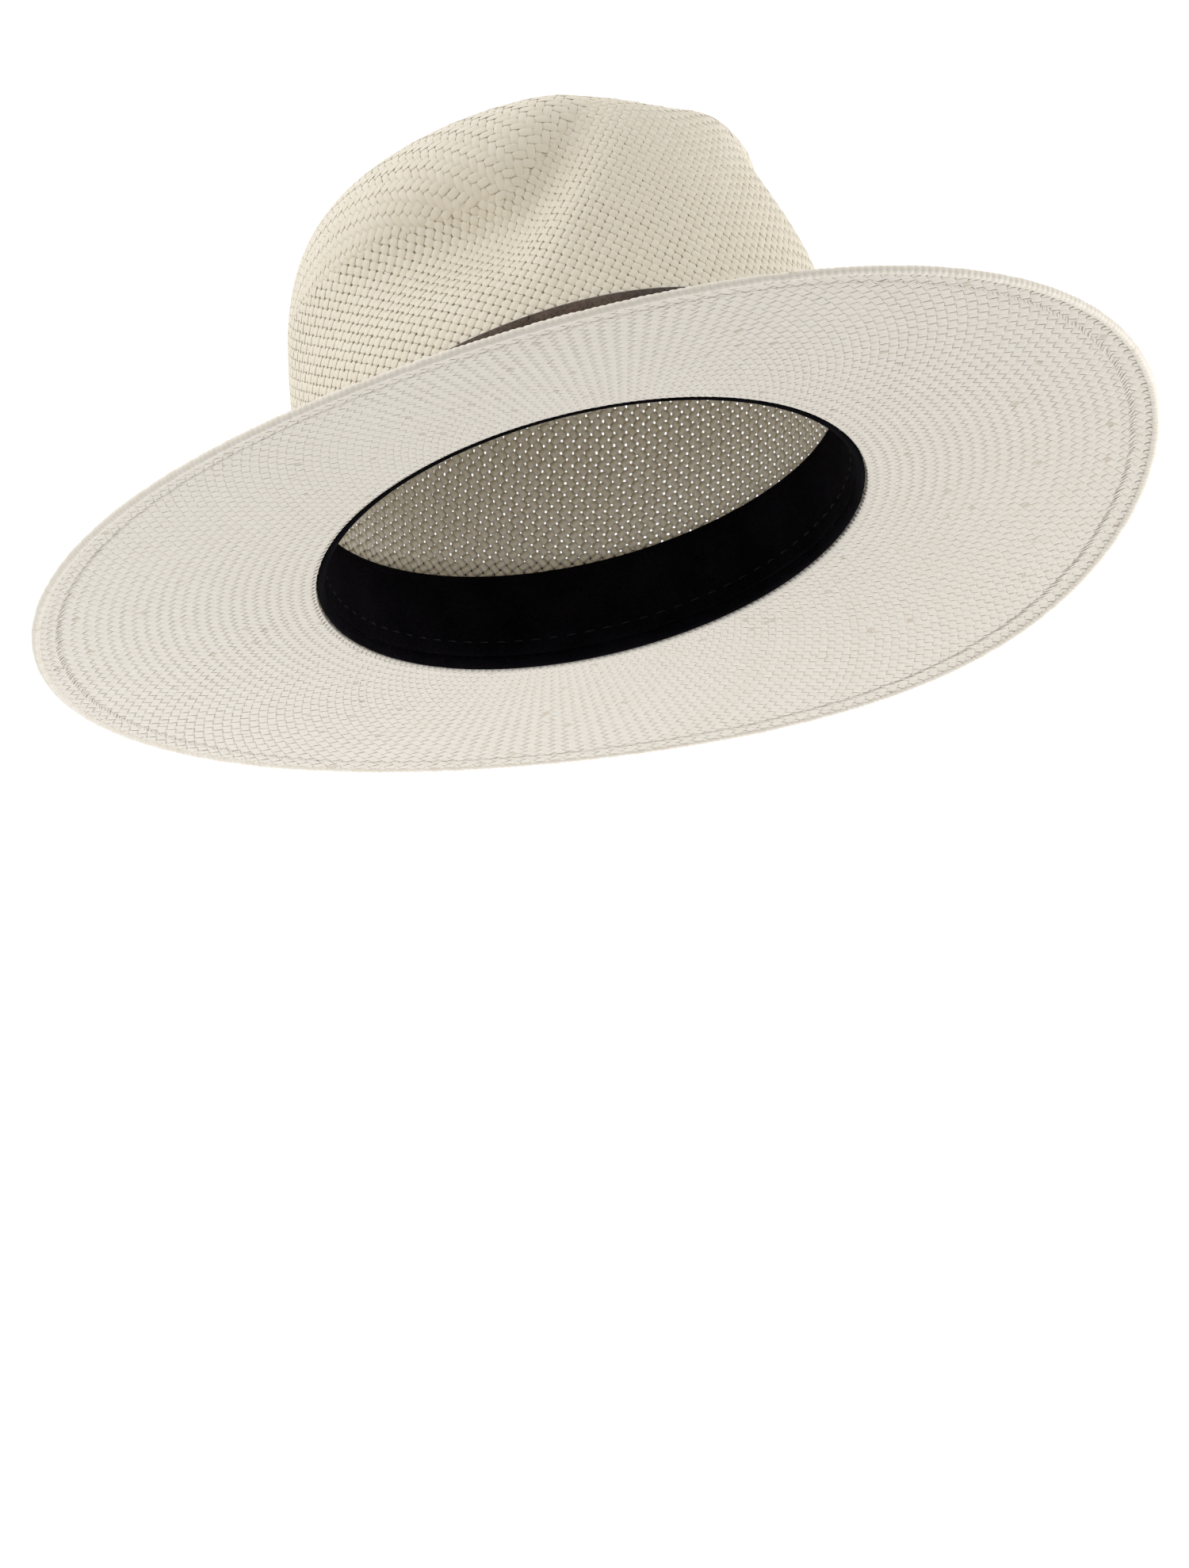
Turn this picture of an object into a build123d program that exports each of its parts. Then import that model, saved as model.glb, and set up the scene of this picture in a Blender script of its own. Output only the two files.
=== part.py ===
from build123d import *
import os
from math import atan2, cos, degrees, exp, hypot, pi, radians, sin

# A wide-brimmed woven straw hat, in millimetres. The origin is the centre of the head opening, in the
# plane where the crown meets the brim. +Z runs up the crown, -Y is the front, +X is the wearer's left.

# Head opening and crown, measured on the outside of the straw
HALF_WIDTH = 86.0
HALF_LENGTH = 101.5
CROWN_HEIGHT = 133.5
SIDE_HEIGHT = 80.0          # where the crown's side ends and its tip begins
STRAW = 1.6
SIDE_ROUND = 0.415          # how quickly the wall turns in towards the tip: smaller is squarer
SIDE_ROUND_FRONT = -0.08    # added to it at the front
TOP_ROUND = 0.36
TOP_ROUND_FRONT = -0.16
FRONT_TAPER = 0.128         # the front wall leans in by this share of its radius in 100 mm of height

# Teardrop dent along the tip
DENT_DEPTH = 24.0
DENT_HALF_WIDTH = 34.0
DENT_HALF_LENGTH = 70.0
DENT_CENTRE = 12.5          # behind the middle of the opening
DENT_NARROWING = 0.25       # how much the dent narrows towards the front

# Finger pinch on each side of the front
PINCH_DEPTH = 14.0
PINCH_HEIGHT = 92.0
PINCH_RISE = 18.0           # how much higher the crease runs at the front than at the side
PINCH_ANGLE = 34.0          # degrees from the side towards the front
PINCH_SPREAD = 26.0
PINCH_WIDTH = 20.0

# Brim, a nearly flat sheet with a soft roll round its edge
BRIM_WIDTH = 97.0
BRIM_WIDTH_CHANGE = 6.8     # wider at front and back than at the sides
BRIM_MEAN_DROP = 5.0
BRIM_SIDE_TO_SIDE = 3.4
BRIM_FRONT_TO_BACK = 7.9
BRIM_SADDLE = 6.0
BRIM_TWIST = 3.2
BRIM_RIPPLE = 3.0
EDGE_DIAMETER = 4.0
CORD_DIAMETER = 1.3
EDGE_SIDES = 8

# Hat band, keeper and tacks
BAND_BOTTOM = 3.0
BAND_HEIGHT = 38.0
BAND_THICKNESS = 1.2
BAND_GAP = 0.8              # the stiff band stands off the woven wall
KEEPER_ANGLE = 8.0          # degrees behind the wearer's left
KEEPER_WIDTH = 14.0
KEEPER_THICKNESS = 1.0
TACK_DIAMETER = 0.8
TACK_LENGTH = 2.6
TACK_COUNT = 4

# Sweatband, its seam tape, the reed in its lower edge and its stitches
SWEATBAND_BOTTOM = 5.2
SWEATBAND_HEIGHT = 30.0
SWEATBAND_THICKNESS = 1.0
SEAM_ANGLE = 142.0          # degrees from the wearer's left, round by the back
SEAM_WIDTH = 9.0
SEAM_THICKNESS = 0.6
REED_DIAMETER = 1.4
REED_TAPE_DIAMETER = 2.6
STITCH_DIAMETER = 0.7
STITCH_LENGTH = 3.6
STITCH_COUNT = 88

GAP = 0.3                   # between pieces that lie on each other
SPLINE_POINTS = 36
WALL_LEVELS = (0.3, 14, 30, 46, 60, 72)     # heights of the sections below the pinches
TIP_SHARES = (0.955, 0.92, 0.87, 0.81, 0.74, 0.66, 0.57, 0.47, 0.36, 0.24)


def smooth_step(low, high, value):
    share = min(max((value - low) / (high - low), 0.0), 1.0)
    return share * share * (3 - 2 * share)


def front_share(angle):
    """1 at the front of the hat, falling to 0 at the sides and back."""
    return max(-sin(angle), 0.0) ** 2


def wall_scale(angle, height, tall):
    """The crown's radius at this height, as a share of its radius at the opening."""
    front = front_share(angle)
    squareness = 2 / (TOP_ROUND + TOP_ROUND_FRONT * front)
    turn_in = (SIDE_ROUND + SIDE_ROUND_FRONT * front) / 2
    return (1 - (height / tall) ** squareness) ** turn_in * (1 - FRONT_TAPER * front * height / 100)


def wall_point(angle, height, skin):
    """A point on the crown's wall, moved out by skin. Only for heights below the pinches."""
    scale = wall_scale(angle, height, CROWN_HEIGHT + skin)
    return Vector(
        (HALF_WIDTH + skin) * scale * cos(angle), (HALF_LENGTH + skin) * scale * sin(angle), height
    )


def pinch_depth(angle, height):
    towards_front = degrees(atan2(-sin(angle), abs(cos(angle))))
    crease = PINCH_HEIGHT + PINCH_RISE * smooth_step(30, 62, towards_front)
    along = (towards_front - PINCH_ANGLE) / PINCH_SPREAD
    across = (height - crease) / PINCH_WIDTH
    return PINCH_DEPTH * exp(-along**2 - across**2)


def dent_depth(x, y, height):
    behind = y - DENT_CENTRE
    half_width = DENT_HALF_WIDTH * (1 + DENT_NARROWING * behind / 60)
    inside = (x / half_width) ** 2 + (behind / DENT_HALF_LENGTH) ** 2
    return DENT_DEPTH * exp(-(inside**1.3)) * smooth_step(0.55, 0.9, height / CROWN_HEIGHT)


def crown_point(angle, radius_share, skin):
    """A point on the dented crown, where the undented crown has this share of its full radius."""
    front = front_share(angle)
    turn_in = (SIDE_ROUND + SIDE_ROUND_FRONT * front) / 2
    rise = (TOP_ROUND + TOP_ROUND_FRONT * front) / 2
    height = (CROWN_HEIGHT + skin) * (1 - radius_share ** (1 / turn_in)) ** rise
    scale = radius_share * (1 - FRONT_TAPER * front * height / 100)
    pinch = pinch_depth(angle, height)
    outward = Vector(cos(angle) / HALF_WIDTH, sin(angle) / HALF_LENGTH).normalized()
    x = (HALF_WIDTH + skin) * scale * cos(angle) - pinch * outward.X
    y = (HALF_LENGTH + skin) * scale * sin(angle) - pinch * outward.Y
    return Vector(x, y, height - dent_depth(x, y, height))


def angles_round(count):
    return [2 * pi * step / count for step in range(count)]


def closed_curve(points):
    return Wire([Edge.make_spline(points, periodic=True)])


def wall_section(height, skin):
    return closed_curve([wall_point(a, height, skin) for a in angles_round(SPLINE_POINTS)])


def crown_form(skin):
    """The solid inside the crown's surface, moved out by skin."""
    sections = [wall_section(height, skin) for height in WALL_LEVELS]
    for share in TIP_SHARES:
        sections.append(closed_curve([crown_point(a, share, skin) for a in angles_round(SPLINE_POINTS)]))
    floor = crown_point(0, 0.01, skin).Z
    last = [crown_point(a, 0.12, skin) for a in angles_round(SPLINE_POINTS)]
    sections.append(closed_curve([Vector(p.X, p.Y, floor) for p in last]))
    return Solid.make_loft(sections)


def brim_point(angle, share, drop=0.0):
    """A point on the brim's upper face: share 0 is at the opening and 1 at the outer edge."""
    outward = Vector(cos(angle) / HALF_WIDTH, sin(angle) / HALF_LENGTH).normalized()
    reach = share * (BRIM_WIDTH - BRIM_WIDTH_CHANGE * cos(2 * angle))
    edge_height = (
        -BRIM_MEAN_DROP
        + BRIM_SIDE_TO_SIDE * cos(angle)
        + BRIM_FRONT_TO_BACK * sin(angle)
        - BRIM_SADDLE * cos(2 * angle)
        - BRIM_TWIST * sin(2 * angle)
        - BRIM_RIPPLE * cos(3 * angle)
    )
    return Vector(
        HALF_WIDTH * cos(angle) + reach * outward.X,
        HALF_LENGTH * sin(angle) + reach * outward.Y,
        share * edge_height - drop,
    )


def ruled_ring(corner_lines):
    """A closed ring whose section has a corner on each of these closed lines of points."""
    corners = [Edge.make_spline(points, periodic=True) for points in corner_lines]
    faces = [Face.make_surface_from_curves(a, b) for a, b in zip(corners, corners[1:] + corners[:1])]
    return Solid(Shell(faces))


def slab(bottom, top):
    return Pos(0, 0, (bottom + top) / 2) * Box(3 * HALF_LENGTH, 3 * HALF_LENGTH, top - bottom)


def wall_form(skin):
    """The solid inside the lower crown's wall, moved out by skin."""
    return Solid.make_loft([wall_section(height, skin) for height in WALL_LEVELS])


def wall_ring(bottom, height, inner_skin, outer_skin):
    """A band that follows the crown's wall."""
    return (wall_form(outer_skin) - wall_form(inner_skin)) & slab(bottom, bottom + height)


def wall_patch(angle, width, bottom, height, inner_skin, outer_skin):
    """A short length of such a band, centred on the angle."""
    centre = wall_point(angle, bottom + height / 2, outer_skin)
    turn = degrees(atan2(centre.Y, centre.X))
    cutter = Pos(centre.X, centre.Y, centre.Z) * Rot(0, 0, turn) * Box(40, width, 2 * height)
    return wall_ring(bottom, height, inner_skin, outer_skin) & cutter


def crown_shell():
    return crown_form(0) - crown_form(-STRAW)


def crown_side():
    """The crown's wall, below the pinches."""
    return crown_shell() & slab(0, SIDE_HEIGHT)


def crown_tip():
    """The pinched and dented top of the crown."""
    return crown_shell() & slab(SIDE_HEIGHT, 2 * CROWN_HEIGHT)


def brim_inner_share():
    return 1 - EDGE_DIAMETER / BRIM_WIDTH


def straw_brim():
    """The brim from the inside of the crown's wall out to the whipped edge."""
    ring = angles_round(2 * SPLINE_POINTS)
    inner = -STRAW / BRIM_WIDTH
    outer = brim_inner_share()
    corners = ((inner, 0), (outer, 0), (outer, STRAW), (inner, STRAW))
    return ruled_ring([[brim_point(a, share, drop) for a in ring] for share, drop in corners])


def tube_round(points, diameter):
    path = Edge.make_spline(points, periodic=True)
    section = Plane(origin=path @ 0, z_dir=path % 0) * Circle(diameter / 2)
    return Solid.sweep(section.face(), path)


def edge_ring(diameter):
    """A ring of eight-sided section that runs round the brim's outer edge."""
    ring = angles_round(2 * SPLINE_POINTS)
    lines = []
    for corner in angles_round(EDGE_SIDES):
        out, up = diameter / 2 * cos(corner), diameter / 2 * sin(corner)
        share = 1 + (out - EDGE_DIAMETER / 2) / BRIM_WIDTH
        lines.append([brim_point(a, share, STRAW / 2 - up) for a in ring])
    return ruled_ring(lines)


def brim_cord():
    return edge_ring(CORD_DIAMETER)


def brim_edge():
    return edge_ring(EDGE_DIAMETER - 2 * GAP) - edge_ring(CORD_DIAMETER + 2 * GAP)


def hat_band():
    return wall_ring(BAND_BOTTOM, BAND_HEIGHT, BAND_GAP, BAND_GAP + BAND_THICKNESS)


def band_keeper():
    skin = BAND_GAP + BAND_THICKNESS + GAP
    return wall_patch(
        radians(KEEPER_ANGLE), KEEPER_WIDTH, BAND_BOTTOM - 1, BAND_HEIGHT + 2, skin, skin + KEEPER_THICKNESS
    )


def band_tacks():
    """Short upright threads over the band's top edge, at even angles and clear of the keeper."""
    tacks = []
    for step in range(TACK_COUNT):
        angle = radians(45 + 360 * step / TACK_COUNT)
        place = wall_point(angle, BAND_BOTTOM + BAND_HEIGHT + 2 * GAP, TACK_DIAMETER / 2 + GAP)
        tack = Cylinder(TACK_DIAMETER / 2, TACK_LENGTH, align=(Align.CENTER, Align.CENTER, Align.MIN))
        tacks.append(Pos(place.X, place.Y, place.Z) * tack)
    return Compound(children=tacks)


SWEATBAND_SKIN = -STRAW - GAP
REED_SKIN = SWEATBAND_SKIN - REED_TAPE_DIAMETER / 2 - GAP


def sweatband():
    return wall_ring(SWEATBAND_BOTTOM, SWEATBAND_HEIGHT, SWEATBAND_SKIN - SWEATBAND_THICKNESS, SWEATBAND_SKIN)


def sweatband_seam_tape():
    skin = SWEATBAND_SKIN - SWEATBAND_THICKNESS - GAP
    return wall_patch(
        radians(SEAM_ANGLE), SEAM_WIDTH, SWEATBAND_BOTTOM, SWEATBAND_HEIGHT, skin - SEAM_THICKNESS, skin
    )


def reed_line():
    height = SWEATBAND_BOTTOM - REED_TAPE_DIAMETER / 2 - GAP
    return [wall_point(a, height, REED_SKIN) for a in angles_round(SPLINE_POINTS)]


def sweatband_reed():
    return tube_round(reed_line(), REED_DIAMETER)


def reed_tape():
    return tube_round(reed_line(), REED_TAPE_DIAMETER) - tube_round(reed_line(), REED_DIAMETER + 2 * GAP)


def sweatband_stitches():
    """Running stitches along the mouth, just under the reed."""
    height = SWEATBAND_BOTTOM - REED_TAPE_DIAMETER - STITCH_DIAMETER / 2 - 2 * GAP
    stitches = []
    for angle in angles_round(STITCH_COUNT):
        place = wall_point(angle, height, REED_SKIN)
        ahead = wall_point(angle + 0.01, height, REED_SKIN) - place
        turn = degrees(atan2(ahead.Y, ahead.X))
        stitch = Rot(0, 90, 0) * Cylinder(STITCH_DIAMETER / 2, STITCH_LENGTH)
        stitches.append(Pos(place.X, place.Y, place.Z) * Rot(0, 0, turn) * stitch)
    return Compound(children=stitches)


NODES = {
    "crown_side": crown_side,
    "crown_tip": crown_tip,
    "straw_brim": straw_brim,
    "brim_edge": brim_edge,
    "brim_cord": brim_cord,
    "hat_band": hat_band,
    "band_keeper": band_keeper,
    "band_tacks": band_tacks,
    "sweatband": sweatband,
    "sweatband_seam_tape": sweatband_seam_tape,
    "sweatband_reed": sweatband_reed,
    "reed_tape": reed_tape,
    "sweatband_stitches": sweatband_stitches,
}

os.makedirs("parts", exist_ok=True)
for name, build in NODES.items():
    shape = build()
    export_step(shape, f"parts/{name}.step")
    box = shape.bounding_box()
    print(f"{name}: volume {shape.volume:.0f}, {box.size.X:.1f} x {box.size.Y:.1f} x {box.size.Z:.1f} mm")
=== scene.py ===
"""A wide-brimmed woven straw hat with a teardrop crown, a dark suede band and a black sweatband.

The straw is modelled strand by strand: each family of straws is a set of thin closed ribbons that pass
over and under the other family along the blocked shape of the hat. Lengths are in metres, +Z runs up
the crown, -Y is the front and +X is the wearer's left.
"""
import logging
import math
from dataclasses import dataclass, field, replace
from enum import Enum
from typing import Iterable, Sequence

import bmesh
import bpy
import numpy as np
from mathutils import Matrix, Vector


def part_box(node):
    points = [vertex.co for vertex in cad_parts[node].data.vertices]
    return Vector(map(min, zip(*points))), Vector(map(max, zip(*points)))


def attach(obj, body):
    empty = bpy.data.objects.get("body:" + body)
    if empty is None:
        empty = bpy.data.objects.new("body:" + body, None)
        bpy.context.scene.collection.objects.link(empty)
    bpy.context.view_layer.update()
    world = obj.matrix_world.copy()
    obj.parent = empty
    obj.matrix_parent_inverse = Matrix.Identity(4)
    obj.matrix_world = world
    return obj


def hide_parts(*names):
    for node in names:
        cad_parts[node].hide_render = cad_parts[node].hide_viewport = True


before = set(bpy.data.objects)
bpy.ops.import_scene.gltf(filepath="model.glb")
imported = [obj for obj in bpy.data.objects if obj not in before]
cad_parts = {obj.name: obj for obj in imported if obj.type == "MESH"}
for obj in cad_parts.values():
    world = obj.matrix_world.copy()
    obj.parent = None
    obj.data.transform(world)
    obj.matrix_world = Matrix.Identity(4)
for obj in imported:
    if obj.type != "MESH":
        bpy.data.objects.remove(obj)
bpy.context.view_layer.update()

logging.basicConfig(level=logging.INFO, format="%(levelname)s %(message)s")
LOG = logging.getLogger("hat")

MM = 0.001
TURN = 2 * math.pi
BODY = "root"
WELD = 1e-7  # points closer than this become one

Section = list[tuple[float, float]]  # corners of a section, as pairs of skin and height


# ---------------------------------------------------------------- the blocked shape of the hat


def smooth_step(low: float, high: float, value: np.ndarray) -> np.ndarray:
    """Rises smoothly from 0 at low to 1 at high.

    Args:
        low: where it starts to rise.
        high: where it ends.
        value: the values to look up.

    Returns:
        The share reached at each value.
    """
    share = np.clip((value - low) / (high - low), 0, 1)
    return share * share * (3 - 2 * share)


@dataclass(frozen=True)
class Pinch:
    """A finger pinch beside the front of the crown. Angles run in degrees from the side to the front."""

    depth: float
    crease: float
    rise: float
    above: float = 17 * MM
    below: float = 18 * MM
    angle: float = 32.0
    spread: float = 30.0

    def press(self, towards_front: np.ndarray, height: np.ndarray) -> np.ndarray:
        """How far it presses the wall in.

        Args:
            towards_front: degrees from the side to the front.
            height: heights of the undented crown.

        Returns:
            The depth at each point.
        """
        crease = self.crease + self.rise * smooth_step(40, 78, towards_front)
        across = (height - crease) / np.where(height > crease, self.above, self.below)
        return self.depth * np.exp(-(((towards_front - self.angle) / self.spread) ** 2) - across**2)


@dataclass
class HatForm:
    """The surface that the straw is blocked to.

    Angles run round the oval opening from the wearer's left by the back. A skin moves the surface out.
    """

    half_width: float
    half_length: float
    crown_height: float = 134.5 * MM
    side_round: float = 0.50
    side_round_front: float = -0.21
    top_round: float = 0.36
    top_round_front: float = -0.27
    front_taper: float = 0.144 / (100 * MM)
    back_lift: float = 1.05
    lift_start: float = 72 * MM
    dent_depth: float = 24 * MM
    dent_half_width: float = 34 * MM
    dent_half_length: float = 77 * MM
    dent_centre: float = 14 * MM
    dent_narrowing: float = 0.25 / (60 * MM)
    right_pinch: Pinch = Pinch(15.5 * MM, 77 * MM, 48 * MM)
    left_pinch: Pinch = Pinch(13 * MM, 104 * MM, 15 * MM)
    brim_width: float = 95.8 * MM
    brim_width_change: float = 6.8 * MM
    brim_mean_drop: float = 5 * MM
    brim_side_to_side: float = 3.4 * MM
    brim_front_to_back: float = 7.9 * MM
    brim_saddle: float = 6 * MM
    brim_twist: float = 3.2 * MM
    brim_ripple: float = 3 * MM
    break_radius: float = 3.6 * MM

    @classmethod
    def from_frame(cls) -> "HatForm":
        """Reads the opening's size from the crown's side."""
        low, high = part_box("crown_side")
        return cls(half_width=(high.x - low.x) / 2, half_length=(high.y - low.y) / 2)

    def front_share(self, angle: np.ndarray) -> np.ndarray:
        """1 at the front of the hat, falling to 0 at the sides and back."""
        return np.clip(-np.sin(angle), 0, 1) ** 2

    def outward(self, angle: np.ndarray) -> np.ndarray:
        """The level direction square to the oval at the angle.

        Args:
            angle: the angles round the opening.

        Returns:
            Unit vectors.
        """
        x, y = np.cos(angle) / self.half_width, np.sin(angle) / self.half_length
        size = np.hypot(x, y)
        return np.stack([x / size, y / size, np.zeros_like(x)], -1)

    def pinch(self, angle: np.ndarray, height: np.ndarray) -> np.ndarray:
        """How far the finger pinches press the wall in.

        Args:
            angle: the angles round the opening.
            height: heights of the undented crown.

        Returns:
            The depth at each point.
        """
        towards_front = np.degrees(np.arctan2(-np.sin(angle), np.abs(np.cos(angle))))
        left = smooth_step(-0.2, 0.2, np.cos(angle))
        right_press = self.right_pinch.press(towards_front, height)
        return right_press + (self.left_pinch.press(towards_front, height) - right_press) * left

    def dent(self, x: np.ndarray, y: np.ndarray, height: np.ndarray) -> np.ndarray:
        """How far the teardrop dent presses the tip down.

        Args:
            x: places from side to side.
            y: places from front to back.
            height: heights of the undented crown.

        Returns:
            The depth at each point.
        """
        behind = y - self.dent_centre
        half_width = self.dent_half_width * (1 + self.dent_narrowing * behind)
        inside = (x / half_width) ** 2 + (behind / self.dent_half_length) ** 2
        return self.dent_depth * np.exp(-(inside**1.3)) * smooth_step(0.55, 0.9, height / self.crown_height)

    def _dress(
        self, angle: np.ndarray, scale: np.ndarray, height: np.ndarray, skin: float
    ) -> np.ndarray:
        """Gives the plain crown its taper, pinches, lifted back and dent.

        Args:
            angle: the angles round the opening.
            scale: the share of the opening's radius at each point.
            height: heights of the undented crown.
            skin: how far the surface is moved out.

        Returns:
            The points.
        """
        scale = scale * (1 - self.front_taper * self.front_share(angle) * height)
        out = self.outward(angle)
        pinch = self.pinch(angle, height)
        x = (self.half_width + skin) * scale * np.cos(angle) - pinch * out[..., 0]
        y = (self.half_length + skin) * scale * np.sin(angle) - pinch * out[..., 1]
        lift = self.back_lift * y * np.clip(height - self.lift_start, 0, None)
        return np.stack([x, y, height + lift - self.dent(x, y, height)], -1)

    def wall(self, angle: np.ndarray, height: np.ndarray, skin: float = 0.0) -> np.ndarray:
        """Points on the crown at these heights of the undented crown.

        Args:
            angle: the angles round the opening.
            height: the heights.
            skin: how far the surface is moved out.

        Returns:
            The points.
        """
        front = self.front_share(angle)
        square = 2 / (self.top_round + self.top_round_front * front)
        turn_in = (self.side_round + self.side_round_front * front) / 2
        rise = np.clip(height / (self.crown_height + skin), 0, 0.9995)
        return self._dress(angle, (1 - rise**square) ** turn_in, height, skin)

    def crown(self, angle: np.ndarray, share: np.ndarray, skin: float = 0.0) -> np.ndarray:
        """Points on the crown where the undented crown has this share of its radius.

        Args:
            angle: the angles round the opening.
            share: the shares of the radius.
            skin: how far the surface is moved out.

        Returns:
            The points.
        """
        front = self.front_share(angle)
        turn_in = (self.side_round + self.side_round_front * front) / 2
        rise = (self.top_round + self.top_round_front * front) / 2
        height = (self.crown_height + skin) * (1 - np.clip(share, 0, 1) ** (1 / turn_in)) ** rise
        return self._dress(angle, share, height, skin)

    def brim(self, angle: np.ndarray, reach: np.ndarray) -> np.ndarray:
        """Points on the brim's middle surface.

        Args:
            angle: the angle round the opening.
            reach: 0 where the wall would meet the flat brim and 1 at the outer edge. Below 0 the surface
                turns up the wall through the break radius.

        Returns:
            The points.
        """
        edge_height = (
            -self.brim_mean_drop
            + self.brim_side_to_side * np.cos(angle)
            + self.brim_front_to_back * np.sin(angle)
            - self.brim_saddle * np.cos(2 * angle)
            - self.brim_twist * np.sin(2 * angle)
            - self.brim_ripple * np.cos(3 * angle)
        )
        width = self.brim_width - self.brim_width_change * np.cos(2 * angle)
        level = np.clip(reach, 0, None) * width
        up = -np.clip(reach, None, 0) * self.brim_width
        roll = self.break_radius * (1 - math.pi / 4)
        run = level - up
        soft = np.sqrt(run**2 + roll**2)
        level_soft, up_soft = (soft + run) / 2, (soft - run) / 2
        foot = np.stack([self.half_width * np.cos(angle), self.half_length * np.sin(angle), 0 * angle], -1)
        point = foot + self.outward(angle) * level_soft[..., None]
        point[..., 2] += edge_height * np.clip(reach, 0, None) + up_soft
        return point

    def undented(self) -> "HatForm":
        """The same form before the dent and the pinches are pressed in."""
        flat = Pinch(0.0, self.crown_height, 0.0)
        return replace(self, dent_depth=0.0, back_lift=0.0, right_pinch=flat, left_pinch=flat)

    def brim_reach(self, inset: float) -> float:
        """The reach of a line this far inside the brim's outer edge."""
        return 1 - inset / self.brim_width


# ---------------------------------------------------------------- meshes


@dataclass
class Grid:
    """A surface given by rows of points, one column after another, with a place for its pattern.

    Attributes:
        points: an array of rows x columns x 3.
        pattern: rows x columns x 2, the distance along the piece and the place across it.
    """

    points: np.ndarray
    pattern: np.ndarray


def mesh_from_grids(name: str, grids: Sequence[Grid]) -> bpy.types.Object:
    """Builds one mesh from grids with the same number of columns.

    Args:
        name: the piece's name.
        grids: the surfaces, each joined to itself where its points meet.

    Returns:
        The new object.
    """
    columns = grids[0].points.shape[1]
    lengths = [g.points.shape[0] for g in grids]
    total = sum(lengths)
    points = np.concatenate([g.points for g in grids]).transpose(1, 0, 2).reshape(-1, 3)
    pattern = np.concatenate([g.pattern for g in grids]).transpose(1, 0, 2).reshape(-1, 2)
    sheet = bmesh.new()
    bmesh.ops.create_grid(sheet, x_segments=total - 1, y_segments=columns - 1, size=1)
    ends = np.cumsum(lengths)[:-1] - 1
    sheet.faces.ensure_lookup_table()
    between = [sheet.faces[c * (total - 1) + e] for c in range(columns - 1) for e in ends]
    bmesh.ops.delete(sheet, geom=between, context="FACES_ONLY")
    loose = [e for e in sheet.edges if not e.link_faces]
    bmesh.ops.delete(sheet, geom=loose, context="EDGES")
    mesh = bpy.data.meshes.new(name)
    sheet.to_mesh(mesh)
    sheet.free()
    mesh.vertices.foreach_set("co", points.astype(np.float32).ravel())
    corners = np.zeros(len(mesh.loops), np.int32)
    mesh.loops.foreach_get("vertex_index", corners)
    layer = mesh.uv_layers.new(name="straw")
    layer.data.foreach_set("uv", pattern[corners].astype(np.float32).ravel())
    sheet = bmesh.new()
    sheet.from_mesh(mesh)
    bmesh.ops.remove_doubles(sheet, verts=sheet.verts, dist=WELD)
    bmesh.ops.dissolve_degenerate(sheet, edges=sheet.edges, dist=WELD)
    bmesh.ops.recalc_face_normals(sheet, faces=sheet.faces)
    for face in sheet.faces:
        face.smooth = True
    sheet.to_mesh(mesh)
    sheet.free()
    piece = bpy.data.objects.new(name, mesh)
    bpy.context.scene.collection.objects.link(piece)
    return piece


def unit(vectors: np.ndarray) -> np.ndarray:
    """The vectors at length 1."""
    size = np.linalg.norm(vectors, axis=-1, keepdims=True)
    return vectors / np.where(size == 0, 1, size)


def ribbon(
    centre: np.ndarray,
    normal: np.ndarray,
    width: np.ndarray,
    depth: np.ndarray,
    profile: np.ndarray,
    place: float,
) -> Grid:
    """A closed ribbon along a line.

    Args:
        centre: the points of the line.
        normal: the direction that the ribbon's upper face looks, at each point.
        width: its width at each point.
        depth: its thickness at each point.
        profile: the corners of its section, across and up, each from -1 to 1.
        place: a number that tells this ribbon from the others, for the pattern.

    Returns:
        The ribbon's surface.
    """
    tangent = unit(np.gradient(centre, axis=0))
    side = unit(np.cross(normal, tangent))
    top = np.cross(tangent, side)
    corners = np.concatenate([profile, profile[:1]])
    points = (
        centre[:, None]
        + side[:, None] * (corners[None, :, 0:1] * width[:, None, None] / 2)
        + top[:, None] * (corners[None, :, 1:2] * depth[:, None, None] / 2)
    )
    along = np.concatenate([[0], np.cumsum(np.linalg.norm(np.diff(centre, axis=0), axis=1))])
    across = np.linspace(0, 0.9, len(corners)) + place
    pattern = np.stack(np.broadcast_arrays(along[:, None], across[None]), -1)
    return Grid(points, pattern)


def ring(points: np.ndarray) -> Grid:
    """A band that closes on itself both ways. Points are steps round x corners of the section x 3.

    Args:
        points: the corners at each step.

    Returns:
        The band's surface.
    """
    closed = np.concatenate([points, points[:1]])
    closed = np.concatenate([closed, closed[:, :1]], axis=1)
    along = np.cumsum(np.linalg.norm(np.diff(closed[:, 0], axis=0, prepend=closed[:1, 0]), axis=1))
    across = np.cumsum(np.linalg.norm(np.diff(closed[0], axis=0, prepend=closed[0, :1]), axis=1))
    return Grid(closed, np.stack(np.broadcast_arrays(along[:, None], across[None]), -1))


def strap(points: np.ndarray) -> Grid:
    """A short length of band with closed ends. Points are steps along x corners of the section x 3.

    Args:
        points: the corners at each step.

    Returns:
        The band's surface.
    """
    middles = np.broadcast_to(points.mean(axis=1, keepdims=True), points.shape)
    rows = np.concatenate([middles[:1], points, middles[-1:]])
    closed = np.concatenate([rows, rows[:, :1]], axis=1)
    along = np.cumsum(np.linalg.norm(np.diff(closed[:, 0], axis=0, prepend=closed[:1, 0]), axis=1))
    across = np.cumsum(np.linalg.norm(np.diff(closed[1], axis=0, prepend=closed[1, :1]), axis=1))
    return Grid(closed, np.stack(np.broadcast_arrays(along[:, None], across[None]), -1))


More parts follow.
